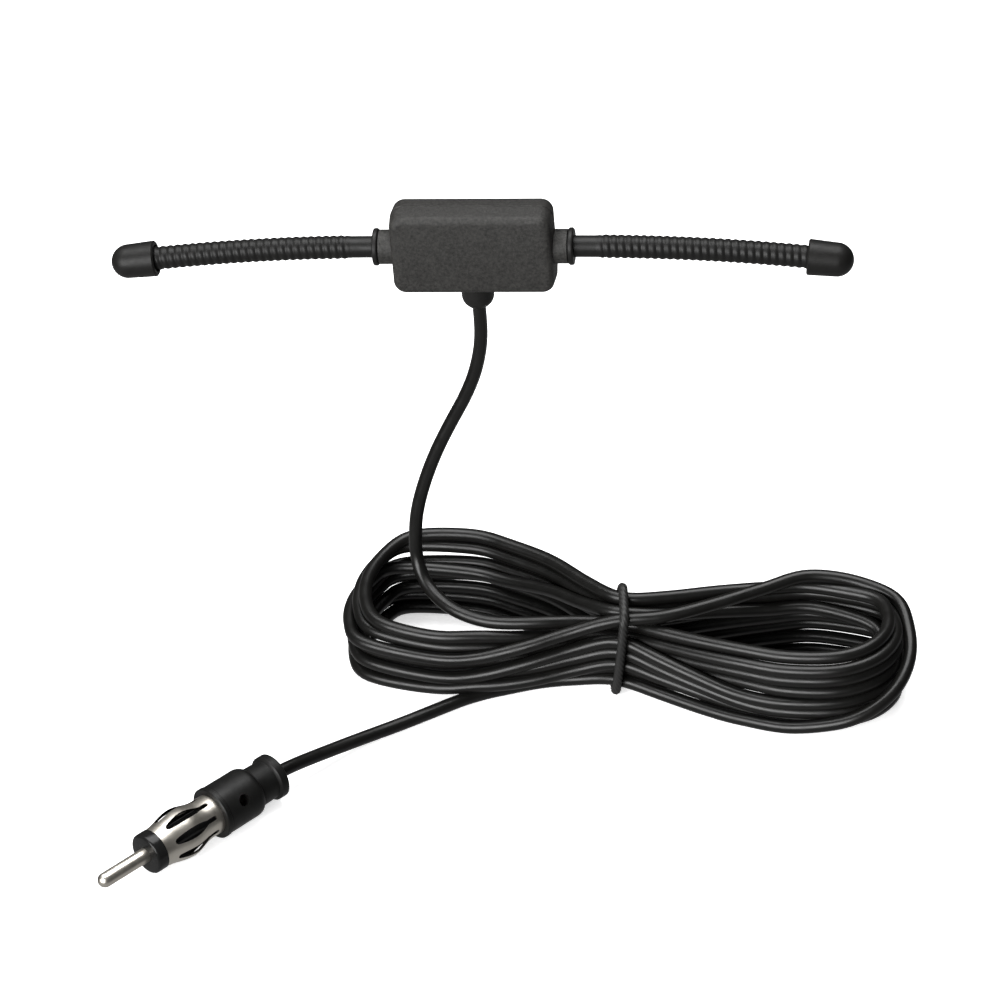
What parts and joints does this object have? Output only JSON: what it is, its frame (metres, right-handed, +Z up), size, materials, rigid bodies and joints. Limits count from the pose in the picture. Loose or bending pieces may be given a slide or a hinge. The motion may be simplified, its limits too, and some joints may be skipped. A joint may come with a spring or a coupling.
{
  "type": "windscreen dipole car radio aerial",
  "caption": "Windscreen dipole aerial for a car radio: black housing, flexible ribbed arms with end caps, and a hanked coax lead with an aerial plug.",
  "frame": {"origin": "centre of the adhesive pad's back face, where it sticks to the glass", "axes": "+X along the arms, +Y out of the back of the housing into the glass, +Z up; the lead leaves downward"},
  "size_m": [0.1584, 0.1034, 0.1095],
  "materials": {
    "housing_plastic": "fine-textured satin charcoal moulding",
    "foam_pad": "soft closed-cell adhesive foam",
    "board_laminate": "solder-masked laminate",
    "coil_copper": "enamelled copper",
    "chip_ceramic": "glazed ceramic",
    "bush_rubber": "smooth moulded rubber",
    "spring_copper": "drawn wire",
    "sleeve_rubber": "ribbed matte rubber",
    "cap_rubber": "slightly grainy rubber",
    "coax_jacket": "satin extruded jacket",
    "tie_cord": "twisted black cord",
    "nickel_plate": "bright nickel plate",
    "insulator_plastic": "glossy moulding",
    "plug_plastic": "satin moulding",
    "plug_rubber": "smooth rubber"
  },
  "bodies": {
    "root": {"rear_housing": "housing_plastic", "front_cover": "housing_plastic", "adhesive_pad": "foam_pad", "circuit_board": "board_laminate", "matching_coil": "coil_copper", "chip_capacitors": "chip_ceramic", "left_grommet": "bush_rubber", "right_grommet": "bush_rubber", "left_spring": "spring_copper", "right_spring": "spring_copper", "left_sleeve": "sleeve_rubber", "right_sleeve": "sleeve_rubber", "left_cap": "cap_rubber", "right_cap": "cap_rubber", "cable_gland": "bush_rubber", "coax_board_end": "coax_jacket", "coax_lead": "coax_jacket", "coax_hank": "coax_jacket", "hank_tie": "tie_cord", "coax_tail": "coax_jacket", "plug_pin": "nickel_plate", "plug_insulator": "insulator_plastic", "plug_sleeve": "nickel_plate", "plug_body": "plug_plastic", "plug_tail": "plug_rubber", "plug_ferrule": "nickel_plate", "coax_plug_end": "coax_jacket"}
  },
  "joints": []
}
